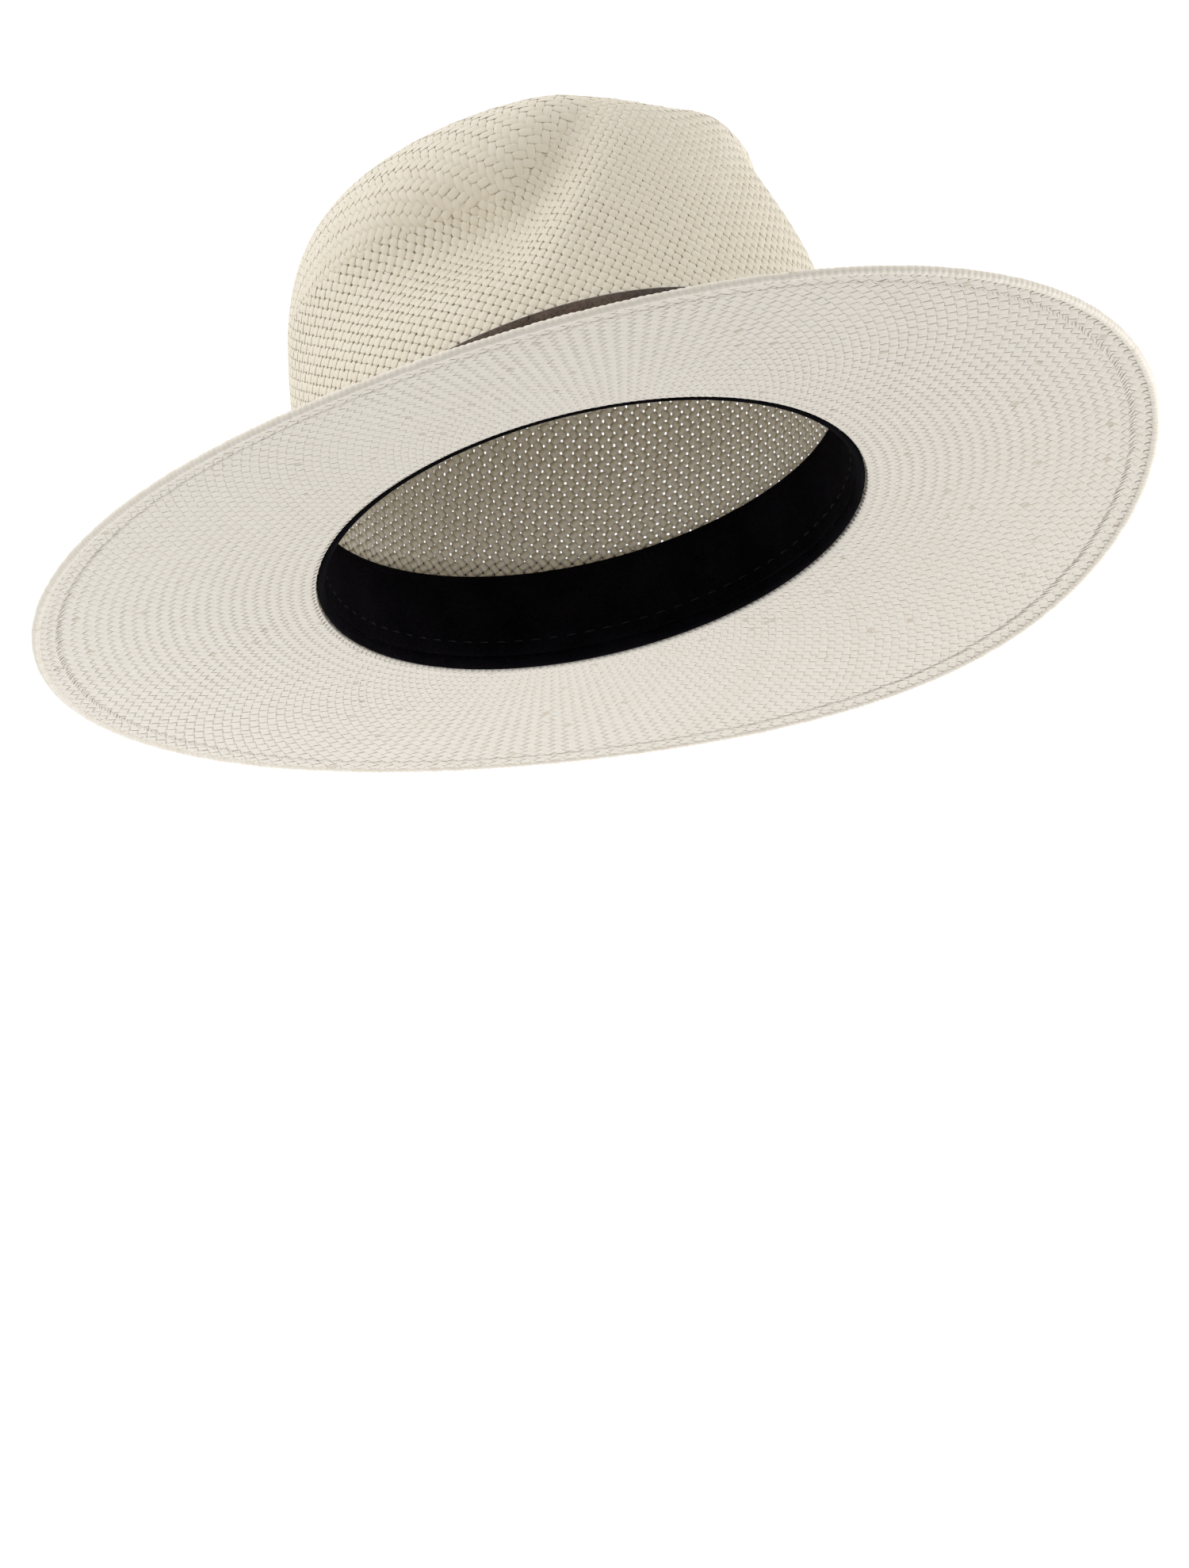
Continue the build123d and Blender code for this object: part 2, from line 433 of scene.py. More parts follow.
def strip_section(inner: float, outer: float, bottom: float, top: float, rows: int = 12) -> Section:
    """The section of a flat strip with soft corners, as pairs of skin and height.

    Args:
        inner: the skin of its inner face.
        outer: the skin of its outer face.
        bottom: the height of its lower edge.
        top: the height of its upper edge.
        rows: how many points each face has.

    Returns:
        The corners in order.
    """
    soft = 0.4 * (outer - inner)
    heights = np.linspace(bottom + soft, top - soft, rows)
    corners = [(inner, z) for z in heights[::-1]]
    corners += [(inner + soft, bottom), (outer - soft, bottom)]
    corners += [(outer, z) for z in heights]
    return corners + [(outer - soft, top), (inner + soft, top)]


def cord_section(skin: float, height: float, diameter: float, sides: int) -> Section:
    """The section of a round cord, as pairs of skin and height."""
    turns = np.linspace(0, TURN, sides, endpoint=False)
    return [(skin + diameter / 2 * math.cos(t), height + diameter / 2 * math.sin(t)) for t in turns]


def along_wall(form: HatForm, angle: np.ndarray, section: Section) -> np.ndarray:
    """The section's corners at each angle, laid against the crown's wall."""
    return np.stack([form.wall(angle, np.full_like(angle, z), skin) for skin, z in section], 1)


# ---------------------------------------------------------------- weaving


class Pattern(Enum):
    """How many straws a straw passes over and under."""

    PLAIN = 1
    TWILL = 2


class Family(Enum):
    """The two families of straws in a weave."""

    WARP = 0
    WEFT = 1


FLAT_STRAW = np.array([(-1, 0), (-0.8, 0.85), (0.8, 0.85), (1, 0), (0, -0.9)])
TWO_FACED_STRAW = np.array([(-1, 0), (-0.66, 0.9), (0.66, 0.9), (1, 0), (0.66, -0.9), (-0.66, -0.9)])
FINE_THREAD = np.array([(-1, 0), (0, 1), (1, 0), (0, -1)])
ROUND_THREAD = np.array([(math.cos(t), math.sin(t)) for t in np.linspace(0, TURN, 6, endpoint=False)])


@dataclass
class Weave:
    """A stretch of weaving. Each crossing of two straws has whole numbers (p, q) as its place.

    Warp straws run along p = a whole number, and weft straws along q = a whole number.
    """

    form: HatForm
    straw_width: float = 1.06
    straw_waist: float = 0.69
    waist_change: float = 0.06
    straw_depth: float = 0.32 * MM
    lift: float = 0.18 * MM
    pattern: Pattern = Pattern.PLAIN
    profile: np.ndarray = field(default_factory=lambda: FLAT_STRAW)
    steps: int = 4
    seed: int = 1
    skin: float = 0.0

    def place(self, p: np.ndarray, q: np.ndarray) -> np.ndarray:
        """The point of the surface at (p, q)."""
        raise NotImplementedError

    def inside(self, p: np.ndarray, q: np.ndarray) -> np.ndarray:
        """Whether the weaving reaches (p, q)."""
        raise NotImplementedError

    def lines(self, family: Family) -> Iterable[tuple[int, float, float]]:
        """Each straw's number, with the range of the other number that may hold it."""
        raise NotImplementedError

    def pitch(self, p: np.ndarray, q: np.ndarray) -> np.ndarray:
        """The distance from one straw to the next of the same family."""
        raise NotImplementedError

    def normal(self, p: np.ndarray, q: np.ndarray) -> np.ndarray:
        """The direction square to the surface, away from the head.

        Args:
            p: the places along the warp numbers.
            q: the places along the weft numbers.

        Returns:
            Unit vectors.
        """
        near = 0.2
        across = self.place(p + near, q) - self.place(p - near, q)
        along = self.place(p, q + near) - self.place(p, q - near)
        found = unit(np.cross(across, along))
        return found * self.facing(p, q, found)[..., None]

    def facing(self, p: np.ndarray, q: np.ndarray, found: np.ndarray) -> np.ndarray:
        """1 or -1, which turns a found normal away from the head."""
        middle = np.array([0, 0, -1.0])
        return np.where(np.sum(found * (self.place(p, q) - middle), -1) >= 0, 1, -1)

    def height(self, family: Family, number: int, other: np.ndarray) -> np.ndarray:
        """How high a straw rides over or under the middle surface, from -1 to 1.

        Args:
            family: the family it belongs to.
            number: its number.
            other: places along it.

        Returns:
            The height at each place.
        """
        sign = 1 if family is Family.WARP else -1
        if self.pattern is Pattern.PLAIN:
            return sign * (-1) ** number * np.clip(1.3 * np.cos(math.pi * other), -1, 1)
        return sign * np.clip(1.6 * np.cos(math.pi / 2 * (other + number) - math.pi / 4), -1, 1)

    def strands(self, family: Family) -> list[Grid]:
        """Every straw of the family, as closed ribbons.

        Args:
            family: the family to weave.

        Returns:
            The ribbons in order.
        """
        chance = np.random.default_rng(self.seed + 7 * family.value)
        found = []
        for number, start, stop in self.lines(family):
            other = np.arange(math.floor(start * self.steps), math.ceil(stop * self.steps) + 1) / self.steps
            own = np.full_like(other, number)
            p, q = (own, other) if family is Family.WARP else (other, own)
            reached = np.flatnonzero(self.inside(p, q))
            for run in np.split(reached, np.flatnonzero(np.diff(reached) > 1) + 1):
                if len(run) > 2 * self.steps:
                    found.append(self._strand(family, number, other[run], chance))
        return found

    def _strand(self, family: Family, number: int, other: np.ndarray, chance: np.random.Generator) -> Grid:
        """One straw. It narrows and dives behind the weave at each end.

        Args:
            family: the family it belongs to.
            number: its number.
            other: places along it.
            chance: the source of its small irregularities.

        Returns:
            The straw's surface.
        """
        knots = np.arange(math.floor(other[0]) - 1, math.ceil(other[-1]) + 2)
        drift = np.interp(other, knots, chance.normal(0, 0.03, len(knots)))
        breadth = np.interp(other, knots, chance.normal(1, 0.035, len(knots))) * chance.normal(1, 0.03)
        own = number + drift
        p, q = (own, other) if family is Family.WARP else (other, own)
        height = self.height(family, number, other)
        end = np.minimum(np.arange(len(other)), np.arange(len(other))[::-1]) / self.steps
        closing = smooth_step(0, 0.8, end)
        normal = self.normal(p, q)
        lifted = self.skin + self.lift * (height * closing - 2.2 * (1 - closing))
        centre = self.place(p, q) + normal * lifted[:, None]
        waist = self.straw_waist + np.interp(other, knots, chance.normal(0, self.waist_change, len(knots)))
        waist = waist + (self.straw_width - waist) * np.abs(height)
        width = self.pitch(p, q) * waist * breadth
        pointed = np.where(end == 0, 0, 1)
        depth = self.straw_depth * chance.normal(1, 0.05) * pointed
        return ribbon(centre, normal, width * pointed, depth, self.profile, float(chance.integers(1, 4000)))

    def build(self, name: str, family: Family, most: int = 180_000) -> list[bpy.types.Object]:
        """The family's straws as one piece, or as several where one would be too heavy.

        Args:
            name: the name of the piece or pieces.
            family: the family to weave.
            most: the most triangles in a piece.

        Returns:
            The pieces.
        """
        strands = self.strands(family)
        sides = len(self.profile)
        weight = np.cumsum([2 * sides * len(s.points) for s in strands])
        count = math.ceil(weight[-1] / most)
        cuts = [int(np.searchsorted(weight, weight[-1] * k / count)) for k in range(1, count)]
        groups = np.split(np.arange(len(strands)), cuts)
        pieces = []
        for step, group in enumerate(groups):
            tail = f"_{step + 1}" if count > 1 else ""
            pieces.append(mesh_from_grids(name + tail, [strands[i] for i in group]))
        return pieces


@dataclass
class SideWeave(Weave):
    """The weaving of the crown's side: two families that climb the wall at a steady slope."""

    bottom: float = 1.5 * MM
    warp_count: int = 107
    weft_count: int = 165
    slope: float = 33.0
    girth: float = 590 * MM

    def __post_init__(self) -> None:
        """Works out how far up the wall each straw is from the next."""
        lean = math.tan(math.radians(self.slope))
        self.warp_rise = lean * self.girth / self.warp_count
        self.weft_rise = self.girth / lean / self.weft_count

    def spot(self, p: np.ndarray, q: np.ndarray) -> tuple[np.ndarray, np.ndarray]:
        """The angle and height at (p, q).

        Args:
            p: the places along the warp numbers.
            q: the places along the weft numbers.

        Returns:
            The angles, and the heights of the undented crown.
        """
        whole = self.warp_count * self.warp_rise + self.weft_count * self.weft_rise
        turns = (p * self.warp_rise + q * self.weft_rise) / whole
        return TURN * turns, self.warp_rise * (p - self.warp_count * turns)

    def place(self, p: np.ndarray, q: np.ndarray) -> np.ndarray:
        """The point of the wall at (p, q)."""
        angle, height = self.spot(p, q)
        return self.form.wall(angle, np.clip(height, 0, None))

    def inside(self, p: np.ndarray, q: np.ndarray) -> np.ndarray:
        """Whether (p, q) lies between the brim and the tip's weaving."""
        angle, height = self.spot(p, q)
        return (height > self.bottom) & (height < tip_line(angle) + 3 * MM)

    def lines(self, family: Family) -> Iterable[tuple[int, float, float]]:
        """Each straw's number, and the range that crosses the wall.

        Args:
            family: the family of straws.

        Returns:
            Each straw's number, with the start and end of its range.
        """
        top = self.form.crown_height
        if family is Family.WARP:
            for number in range(self.warp_count):
                first = number - top / self.warp_rise
                low = self.weft_count * first / self.warp_count - top / self.weft_rise
                yield number, low, self.weft_count * number / self.warp_count
            return
        for number in range(self.weft_count):
            low = self.warp_count * number / self.weft_count
            last = number + top / self.weft_rise
            high = self.warp_count * last / self.weft_count + top / self.warp_rise
            yield number, low, high

    def pitch(self, p: np.ndarray, q: np.ndarray) -> np.ndarray:
        """Nearly the same all over the wall."""
        return np.full_like(p, self.girth / self.warp_count * math.sin(math.radians(self.slope)))

    def facing(self, p: np.ndarray, q: np.ndarray, found: np.ndarray) -> np.ndarray:
        """Outwards from the crown's axis."""
        angle, _ = self.spot(p, q)
        return np.where(np.sum(found * (self.form.outward(angle) + [0, 0, 0.3]), -1) >= 0, 1, -1)


def tip_line(angle: np.ndarray) -> np.ndarray:
    """The height where the tip's twill ends and the side's plain weave begins."""
    towards_front = np.degrees(np.arctan2(-np.sin(angle), np.abs(np.cos(angle))))
    return (88 + 40 * smooth_step(38, 78, towards_front)) * MM


@dataclass
class TipWeave(Weave):
    """The weaving of the tip: a square cloth, laid over the top and round its edge."""

    cell: float = 2.85 * MM
    angle_steps: int = 360
    share_steps: int = 400

    def __post_init__(self) -> None:
        """Measures the way from the middle of the tip down each side of the undented crown."""
        plain = self.form.undented()
        self.angles = np.linspace(0, TURN, self.angle_steps + 1)
        self.shares = np.linspace(0, 0.9999, self.share_steps)
        points = plain.crown(*np.meshgrid(self.angles, self.shares, indexing="ij"))
        steps = np.linalg.norm(np.diff(points, axis=1), axis=-1)
        self.way = np.concatenate([np.zeros((len(self.angles), 1)), np.cumsum(steps, axis=1)], axis=1)
        self.longest = float(self.way.max())

    def spot(self, p: np.ndarray, q: np.ndarray) -> tuple[np.ndarray, np.ndarray]:
        """The angle and the share of the radius at (p, q).

        Args:
            p: the places along the warp numbers.
            q: the places along the weft numbers.

        Returns:
            The angles, and the shares.
        """
        x, y = (p + q) * self.cell / math.sqrt(2), (p - q) * self.cell / math.sqrt(2)
        angle = np.arctan2(y / self.form.half_length, x / self.form.half_width) % TURN
        column = angle / TURN * self.angle_steps
        low = np.clip(column.astype(int), 0, self.angle_steps - 1)
        part = column - low
        length = np.hypot(x, y)
        share = np.zeros_like(length)
        for index in np.unique(low):
            here = low == index
            first = np.interp(length[here], self.way[index], self.shares)
            second = np.interp(length[here], self.way[index + 1], self.shares)
            share[here] = first + (second - first) * part[here]
        return angle, share

    def place(self, p: np.ndarray, q: np.ndarray) -> np.ndarray:
        """The point of the tip at (p, q)."""
        return self.form.crown(*self.spot(p, q))

    def inside(self, p: np.ndarray, q: np.ndarray) -> np.ndarray:
        """Whether (p, q) lies above the line where the side's weaving begins."""
        angle, share = self.spot(p, q)
        return self.form.undented().crown(angle, share)[..., 2] > tip_line(angle)

    def lines(self, family: Family) -> Iterable[tuple[int, float, float]]:
        """Each straw's number, and the range that crosses the tip."""
        reach = math.ceil(self.longest / self.cell)
        for number in range(-reach, reach + 1):
            yield number, -reach, reach

    def pitch(self, p: np.ndarray, q: np.ndarray) -> np.ndarray:
        """The same all over the tip."""
        return np.full_like(p, self.cell)

    def facing(self, p: np.ndarray, q: np.ndarray, found: np.ndarray) -> np.ndarray:
        """Up, and outwards at the edge.

        Args:
            p: the places along the warp numbers.
            q: the places along the weft numbers.
            found: the normals found.

        Returns:
            1 or -1 for each normal.
        """
        angle, share = self.spot(p, q)
        way = self.form.outward(angle) * (share**4)[..., None] + [0, 0, 0.5]
        return np.where(np.sum(found * way, -1) >= 0, 1, -1)


@dataclass
class BrimWeave(Weave):
    """The weaving of the brim: two families that spiral out from the opening, one each way."""

    count: int = 232
    inner_lean: float = 34.0
    outer_lean: float = 52.0
    inner_end: float = -5 * MM
    edge_inset: float = 2 * MM
    radius_steps: int = 600

    def __post_init__(self) -> None:
        """Works out how far round the brim a straw has turned at each radius."""
        self.opening = (self.form.half_width + self.form.half_length) / 2
        outer = self.opening + self.form.brim_width
        self.radii = np.linspace(self.opening - 12 * MM, outer + 4 * MM, self.radius_steps)
        share = np.clip((self.radii - self.opening) / self.form.brim_width, 0, 1)
        lean = np.radians(self.inner_lean + (self.outer_lean - self.inner_lean) * share)
        step = np.gradient(self.radii)
        self.turned = np.cumsum(np.tan(lean) / self.radii * step)
        self.leans = lean

    def spot(self, p: np.ndarray, q: np.ndarray) -> tuple[np.ndarray, np.ndarray]:
        """The angle and the radius at (p, q)."""
        turned = math.pi * (p - q) / self.count
        return math.pi * (p + q) / self.count, np.interp(turned, self.turned, self.radii)

    def place(self, p: np.ndarray, q: np.ndarray) -> np.ndarray:
        """The point of the brim at (p, q)."""
        angle, radius = self.spot(p, q)
        return self.form.brim(angle, (radius - self.opening) / self.form.brim_width)

    def inside(self, p: np.ndarray, q: np.ndarray) -> np.ndarray:
        """Whether (p, q) lies between the wall and the whipped edge."""
        radius = self.spot(p, q)[1] - self.opening
        return (radius > self.inner_end) & (radius < self.form.brim_width - self.edge_inset)

    def lines(self, family: Family) -> Iterable[tuple[int, float, float]]:
        """Each straw's number, and the range that crosses the brim.

        Args:
            family: the family of straws.

        Returns:
            Each straw's number, with the start and end of its range.
        """
        span = self.count * float(self.turned[-1]) / math.pi + 1
        for number in range(self.count):
            if family is Family.WARP:
                yield number, number - span, number
            else:
                yield number, number, number + span

    def pitch(self, p: np.ndarray, q: np.ndarray) -> np.ndarray:
        """Grows a little from the opening to the edge."""
        radius = self.spot(p, q)[1]
        return TURN * radius / self.count * np.cos(np.interp(radius, self.radii, self.leans))

    def facing(self, p: np.ndarray, q: np.ndarray, found: np.ndarray) -> np.ndarray:
        """Up, and outwards where the brim turns up the wall."""
        angle, _ = self.spot(p, q)
        return np.where(np.sum(found * (self.form.outward(angle) + [0, 0, 1]), -1) >= 0, 1, -1)


# ---------------------------------------------------------------- finishes


def group_output(tree: bpy.types.NodeTree, names: Sequence[tuple[str, str]]) -> bpy.types.Node:
    """Adds the named outputs to a node group, and its output node.

    Args:
        tree: the group.
        names: each name with its kind of socket.

    Returns:
        The output node.
    """
    for name, kind in names:
        tree.interface.new_socket(name=name, in_out="OUTPUT", socket_type=kind)
    return tree.nodes.new("NodeGroupOutput")


def group_input(tree: bpy.types.NodeTree, names: Sequence[tuple[str, str, object]]) -> bpy.types.Node:
    """Adds the named inputs with their usual values to a node group, and its input node.

    Args:
        tree: the group.
        names: each name with its kind of socket and value.

    Returns:
        The input node.
    """
    for name, kind, value in names:
        made = tree.interface.new_socket(name=name, in_out="INPUT", socket_type=kind)
        made.default_value = value
    return tree.nodes.new("NodeGroupInput")


def math_node(
    tree: bpy.types.NodeTree, kind: str, first: object, second: object = None
) -> bpy.types.NodeSocket:
    """A math node with two inputs, each a number or a socket.

    Args:
        tree: the tree to add it to.
        kind: the operation.
        first: the first input.
        second: the second input, if it has one.

    Returns:
        The node's output.
    """
    node = tree.nodes.new("ShaderNodeMath")
    node.operation = kind
    for socket, value in zip(node.inputs, (first, second)):
        if isinstance(value, bpy.types.NodeSocket):
            tree.links.new(value, socket)
        elif value is not None:
            socket.default_value = value
    return node.outputs[0]


def straw_group() -> bpy.types.NodeTree:
    """The look of split straw: long fibres, a tint of its own for each straw, and small stains.

    Returns:
        A group that gives a colour and a height, built once.
    """
    if "straw_fibre" in bpy.data.node_groups:
        return bpy.data.node_groups["straw_fibre"]
    tree = bpy.data.node_groups.new("straw_fibre", "ShaderNodeTree")
    given = group_input(
        tree,
        [
            ("Pale", "NodeSocketColor", (0.8, 0.74, 0.6, 1)),
            ("Deep", "NodeSocketColor", (0.6, 0.5, 0.34, 1)),
            ("Stain", "NodeSocketColor", (0.4, 0.28, 0.13, 1)),
            ("Variation", "NodeSocketFloat", 0.4),
            ("Stains", "NodeSocketFloat", 0.02),
        ],
    )
    out = group_output(tree, [("Color", "NodeSocketColor"), ("Height", "NodeSocketFloat")])
    uv = tree.nodes.new("ShaderNodeUVMap")
    uv.uv_map = "straw"
    split = tree.nodes.new("ShaderNodeSeparateXYZ")
    tree.links.new(uv.outputs[0], split.inputs[0])
    number = math_node(tree, "FLOOR", split.outputs["Y"])
    own = tree.nodes.new("ShaderNodeTexWhiteNoise")
    own.noise_dimensions = "1D"
    tree.links.new(number, own.inputs["W"])
    along = math_node(tree, "MULTIPLY", split.outputs["X"], 90.0)
    across = math_node(tree, "MULTIPLY", split.outputs["Y"], 9.0)
    fibre_place = tree.nodes.new("ShaderNodeCombineXYZ")
    tree.links.new(along, fibre_place.inputs[0])
    tree.links.new(across, fibre_place.inputs[1])
    fibre = tree.nodes.new("ShaderNodeTexNoise")
    fibre.inputs["Scale"].default_value = 1.0
    fibre.inputs["Detail"].default_value = 3.0
    tree.links.new(fibre_place.outputs[0], fibre.inputs["Vector"])
    place = tree.nodes.new("ShaderNodeTexCoord")
    patch = tree.nodes.new("ShaderNodeTexNoise")
    patch.inputs["Scale"].default_value = 28.0
    patch.inputs["Detail"].default_value = 4.0
    tree.links.new(place.outputs["Object"], patch.inputs["Vector"])
    tint = math_node(tree, "ADD", math_node(tree, "MULTIPLY", own.outputs["Value"], 0.45),
                     math_node(tree, "MULTIPLY", fibre.outputs["Fac"], 0.45))
    tint = math_node(tree, "ADD", tint, math_node(tree, "MULTIPLY", patch.outputs["Fac"], 0.25))
    tint = math_node(tree, "MULTIPLY", tint, given.outputs["Variation"])
    mix = tree.nodes.new("ShaderNodeMix")
    mix.data_type = "RGBA"
    tree.links.new(tint, mix.inputs["Factor"])
    tree.links.new(given.outputs["Pale"], mix.inputs["A"])
    tree.links.new(given.outputs["Deep"], mix.inputs["B"])
    spot_place = tree.nodes.new("ShaderNodeCombineXYZ")
    tree.links.new(math_node(tree, "MULTIPLY", split.outputs["X"], 220.0), spot_place.inputs[0])
    tree.links.new(math_node(tree, "MULTIPLY", number, 3.7), spot_place.inputs[1])
    spots = tree.nodes.new("ShaderNodeTexWhiteNoise")
    spots.noise_dimensions = "2D"
    floor = tree.nodes.new("ShaderNodeVectorMath")
    floor.operation = "FLOOR"
    tree.links.new(spot_place.outputs[0], floor.inputs[0])
    tree.links.new(floor.outputs[0], spots.inputs["Vector"])
    stained = math_node(tree, "LESS_THAN", spots.outputs["Value"], given.outputs["Stains"])
    middle = math_node(tree, "FRACT", math_node(tree, "MULTIPLY", split.outputs["Y"], 2.0))
    off_middle = math_node(tree, "ABSOLUTE", math_node(tree, "SUBTRACT", middle, 0.5))
    narrow = math_node(tree, "LESS_THAN", off_middle, 0.24)
    stained = math_node(tree, "MULTIPLY", math_node(tree, "MULTIPLY", stained, narrow), 0.34)
    mark = tree.nodes.new("ShaderNodeMix")
    mark.data_type = "RGBA"
    tree.links.new(stained, mark.inputs["Factor"])
    tree.links.new(mix.outputs["Result"], mark.inputs["A"])
    tree.links.new(given.outputs["Stain"], mark.inputs["B"])
    tree.links.new(mark.outputs["Result"], out.inputs["Color"])
    tree.links.new(fibre.outputs["Fac"], out.inputs["Height"])
    return tree


def new_material(name: str) -> tuple[bpy.types.Material, bpy.types.NodeTree, bpy.types.Node]:
    """A material with a Principled shader.

    Args:
        name: the material's name.

    Returns:
        The material, its tree and the shader.
    """
    material = bpy.data.materials.new(name)
    material.use_nodes = True
    tree = material.node_tree
    return material, tree, tree.nodes["Principled BSDF"]


def colour(values: Sequence[float]) -> tuple[float, float, float, float]:
    """The colour with full alpha."""
    return (*values, 1.0)


@dataclass(frozen=True)
class StrawFinish:
    """Bleached split straw."""

    name: str
    pale: tuple[float, float, float]
    deep: tuple[float, float, float]
    stain: tuple[float, float, float] = (0.36, 0.24, 0.10)
    variation: float = 0.45
    stains: float = 0.004
    roughness: float = 0.5
    relief: float = 0.25 * MM

    def material(self) -> bpy.types.Material:
        """Builds the material."""
        material, tree, shader = new_material(self.name)
        straw = tree.nodes.new("ShaderNodeGroup")
        straw.node_tree = straw_group()
        straw.inputs["Pale"].default_value = colour(self.pale)
        straw.inputs["Deep"].default_value = colour(self.deep)
        straw.inputs["Stain"].default_value = colour(self.stain)
        straw.inputs["Variation"].default_value = self.variation
        straw.inputs["Stains"].default_value = self.stains
        tree.links.new(straw.outputs["Color"], shader.inputs["Base Color"])
        bump = tree.nodes.new("ShaderNodeBump")
        bump.inputs["Strength"].default_value = 0.35
        bump.inputs["Distance"].default_value = self.relief
        tree.links.new(straw.outputs["Height"], bump.inputs["Height"])
        tree.links.new(bump.outputs[0], shader.inputs["Normal"])
        shader.inputs["Roughness"].default_value = self.roughness
        shader.inputs["Specular IOR Level"].default_value = 0.35
        return material


@dataclass(frozen=True)
class NapFinish:
    """Suede or matt cloth: a fine nap, faintly mottled."""

    name: str
    dark: tuple[float, float, float]
    light: tuple[float, float, float]
    grain: float = 900.0
    mottle: float = 60.0
    roughness: float = 0.9
    sheen: float = 0.4
    shine: float = 0.2
    relief: float = 0.3 * MM

    def material(self) -> bpy.types.Material:
        """Builds the material."""
        material, tree, shader = new_material(self.name)
        place = tree.nodes.new("ShaderNodeTexCoord")
        fine = tree.nodes.new("ShaderNodeTexNoise")
        fine.inputs["Scale"].default_value = self.grain
        fine.inputs["Detail"].default_value = 4.0
        broad = tree.nodes.new("ShaderNodeTexNoise")
        broad.inputs["Scale"].default_value = self.mottle
        for node in (fine, broad):
            tree.links.new(place.outputs["Object"], node.inputs["Vector"])
        total = math_node(tree, "ADD", math_node(tree, "MULTIPLY", fine.outputs["Fac"], 0.7),
                          math_node(tree, "MULTIPLY", broad.outputs["Fac"], 0.5))
        ramp = tree.nodes.new("ShaderNodeValToRGB")
        ramp.color_ramp.elements[0].position = 0.42
        ramp.color_ramp.elements[1].position = 0.78
        ramp.color_ramp.elements[0].color = colour(self.dark)
        ramp.color_ramp.elements[1].color = colour(self.light)
        tree.links.new(total, ramp.inputs[0])
        tree.links.new(ramp.outputs[0], shader.inputs["Base Color"])
        bump = tree.nodes.new("ShaderNodeBump")
        bump.inputs["Strength"].default_value = 0.5
        bump.inputs["Distance"].default_value = self.relief
        tree.links.new(fine.outputs["Fac"], bump.inputs["Height"])
        tree.links.new(bump.outputs[0], shader.inputs["Normal"])
        shader.inputs["Roughness"].default_value = self.roughness
        shader.inputs["Sheen Weight"].default_value = self.sheen
        shader.inputs["Specular IOR Level"].default_value = self.shine
        return material


CROWN_STRAW = StrawFinish("crown_straw", (0.88, 0.82, 0.69), (0.74, 0.64, 0.47), stains=0.0)
BRIM_STRAW = StrawFinish("brim_straw", (0.815, 0.76, 0.675), (0.70, 0.63, 0.52), stains=0.008)
EDGE_STRAW = StrawFinish("edge_straw", (0.95, 0.90, 0.81), (0.80, 0.69, 0.54), variation=0.6)
SUEDE = NapFinish("brown_suede", (0.034, 0.022, 0.015), (0.12, 0.082, 0.060), sheen=0.25)
SUEDE_THREAD = NapFinish(
    "brown_thread", (0.025, 0.017, 0.012), (0.07, 0.05, 0.038), grain=2500, sheen=0.1
)
BLACK_CLOTH = NapFinish(
    "black_cloth", (0.001, 0.0008, 0.0012), (0.006, 0.005, 0.007), grain=1500, sheen=0.0, shine=0.025
)
BLACK_THREAD = NapFinish(
    "black_thread", (0.002, 0.002, 0.002), (0.012, 0.012, 0.012), grain=2500, sheen=0.05
)
REED_CANE = StrawFinish("reed_cane", (0.62, 0.47, 0.27), (0.45, 0.31, 0.15), stains=0.0)


# ---------------------------------------------------------------- sub-assemblies


def finish_piece(
    piece: bpy.types.Object, material: bpy.types.Material, slot: str, *stands_for: str
) -> None:
    """Gives a piece its material and body, and hides the CAD nodes it stands for.

    Args:
        piece: the piece.
        material: its material.
        slot: not used.
        stands_for: the CAD nodes.
    """
    piece.data.materials.clear()
    piece.data.materials.append(material)
    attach(piece, BODY)
    if stands_for:
        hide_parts(*stands_for)
    LOG.info("%s: %d faces", piece.name, len(piece.data.polygons))


@dataclass
class Crown:
    """The woven crown: its side and its tip."""

    form: HatForm

    def build(self) -> None:
        """Weaves the side and the tip."""
        material = CROWN_STRAW.material()
        side = SideWeave(self.form)
        tip = TipWeave(self.form, pattern=Pattern.TWILL, seed=20, skin=0.15 * MM)
        for weave, name, node in ((side, "crown_side", "crown_side"), (tip, "crown_tip", "crown_tip")):
            for family in Family:
                for piece in weave.build(f"{name}_{family.name.lower()}", family):
                    finish_piece(piece, material, "straw", node)


